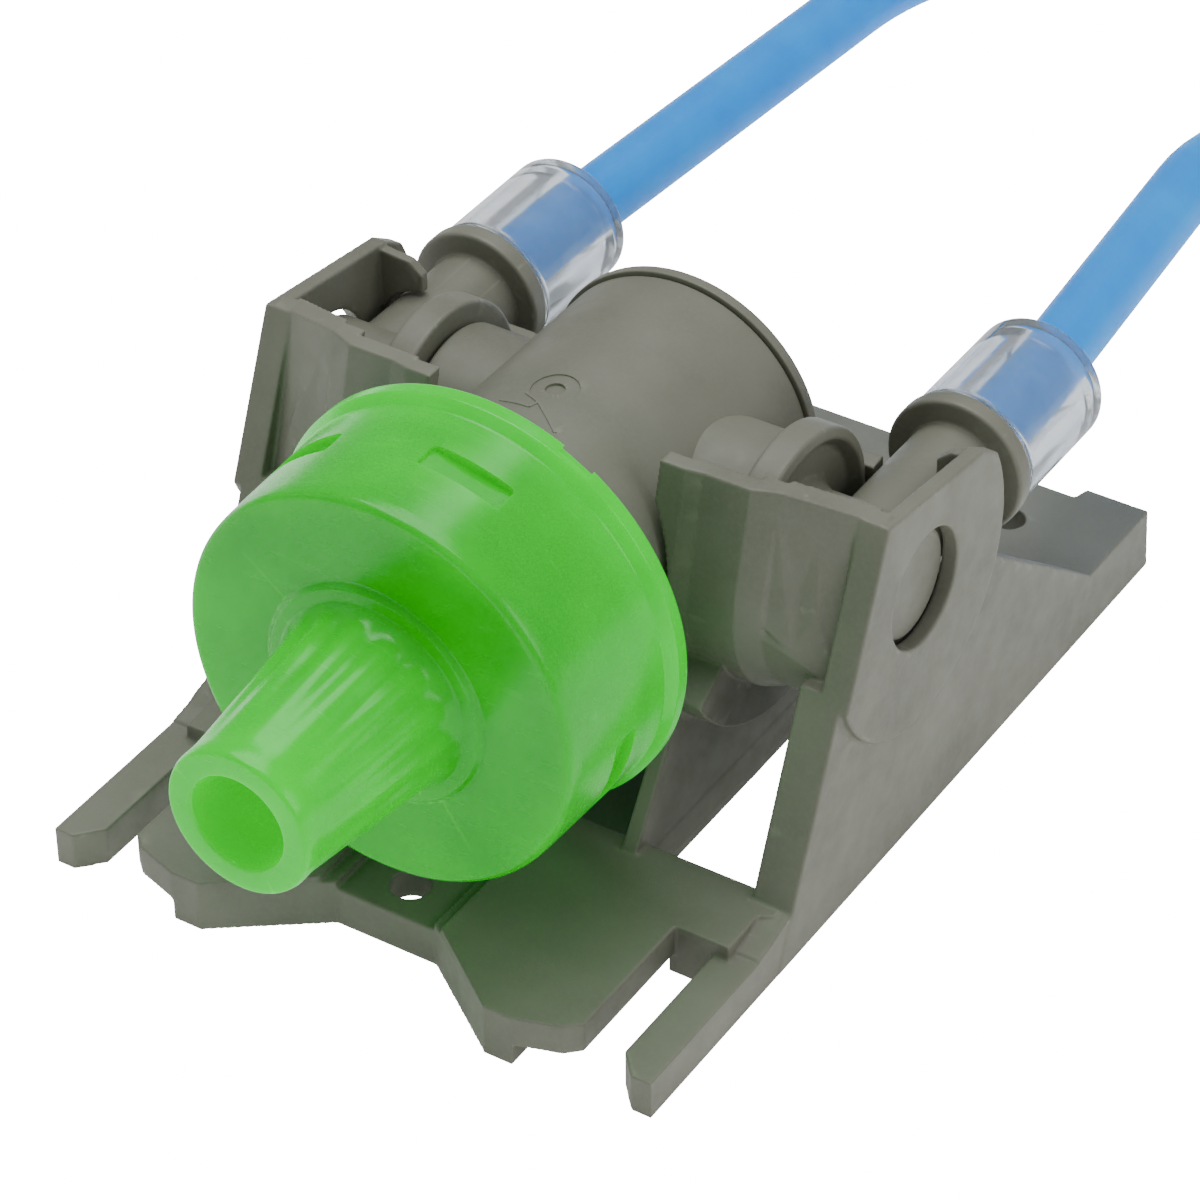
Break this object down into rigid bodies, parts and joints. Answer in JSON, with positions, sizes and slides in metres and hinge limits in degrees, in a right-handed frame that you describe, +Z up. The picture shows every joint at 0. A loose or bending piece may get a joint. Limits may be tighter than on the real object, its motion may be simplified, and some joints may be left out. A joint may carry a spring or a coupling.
{
  "type": "hydraulic rotary actuator module",
  "caption": "Kit rotary actuator: a housing on side trunnions in a moulded bracket, a turning green cup with a socketed stub at its front, and blue feed hoses at its back.",
  "frame": {"origin": "on the bracket's underside, straight below the axis of the housing's two side bosses", "axes": "+X across from the left hose to the right hose, +Y from the cup towards the hoses, +Z up from the surface the bracket stands on"},
  "size_m": [0.0706, 0.224, 0.0404],
  "materials": {
    "bracket_plastic": "satin moulded, warm grey",
    "housing_plastic": "satin moulded, warm grey",
    "elbow_plastic": "satin moulded, warm grey",
    "bearing_plastic": "smooth, low friction",
    "green_plastic": "glossy, slightly translucent",
    "hose_plastic": "soft, semi-gloss",
    "clear_sleeve": "clear, soft",
    "seal_rubber": "matt black"
  },
  "bodies": {
    "base": {"bracket": "bracket_plastic", "elbow_left": "elbow_plastic", "elbow_right": "elbow_plastic", "elbow_seal_left": "seal_rubber", "elbow_seal_right": "seal_rubber", "hose_sleeve_left": "clear_sleeve", "hose_sleeve_right": "clear_sleeve", "hose_left": "hose_plastic", "hose_right": "hose_plastic", "hose_coil_left": "hose_plastic", "hose_coil_right": "hose_plastic", "hose_end_sleeve_left": "clear_sleeve", "hose_end_sleeve_right": "clear_sleeve", "hose_end_connector_left": "elbow_plastic", "hose_end_connector_right": "elbow_plastic"},
    "tilting_housing": {"housing": "housing_plastic", "housing_end_cap": "housing_plastic", "end_cap_seal": "seal_rubber", "bearing_plate": "bearing_plastic", "bearing_plate_seal": "seal_rubber", "chamber_divider": "bearing_plastic"},
    "turning_cup": {"green_cup": "green_plastic", "vane_rotor": "bearing_plastic", "vane_lip_seal": "seal_rubber", "shaft_seal": "seal_rubber"}
  },
  "joints": [
    {"name": "housing_tilt", "type": "hinge", "parent": "base", "child": "tilting_housing", "pos_m": [0, 0, 0.0233], "axis": [1, 0, 0], "range_deg": [-8, 5]},
    {"name": "cup_turn", "type": "hinge", "parent": "tilting_housing", "child": "turning_cup", "pos_m": [0, -0.025, 0.0233], "axis": [0, 1, 0], "range_deg": [-80, 80]}
  ]
}
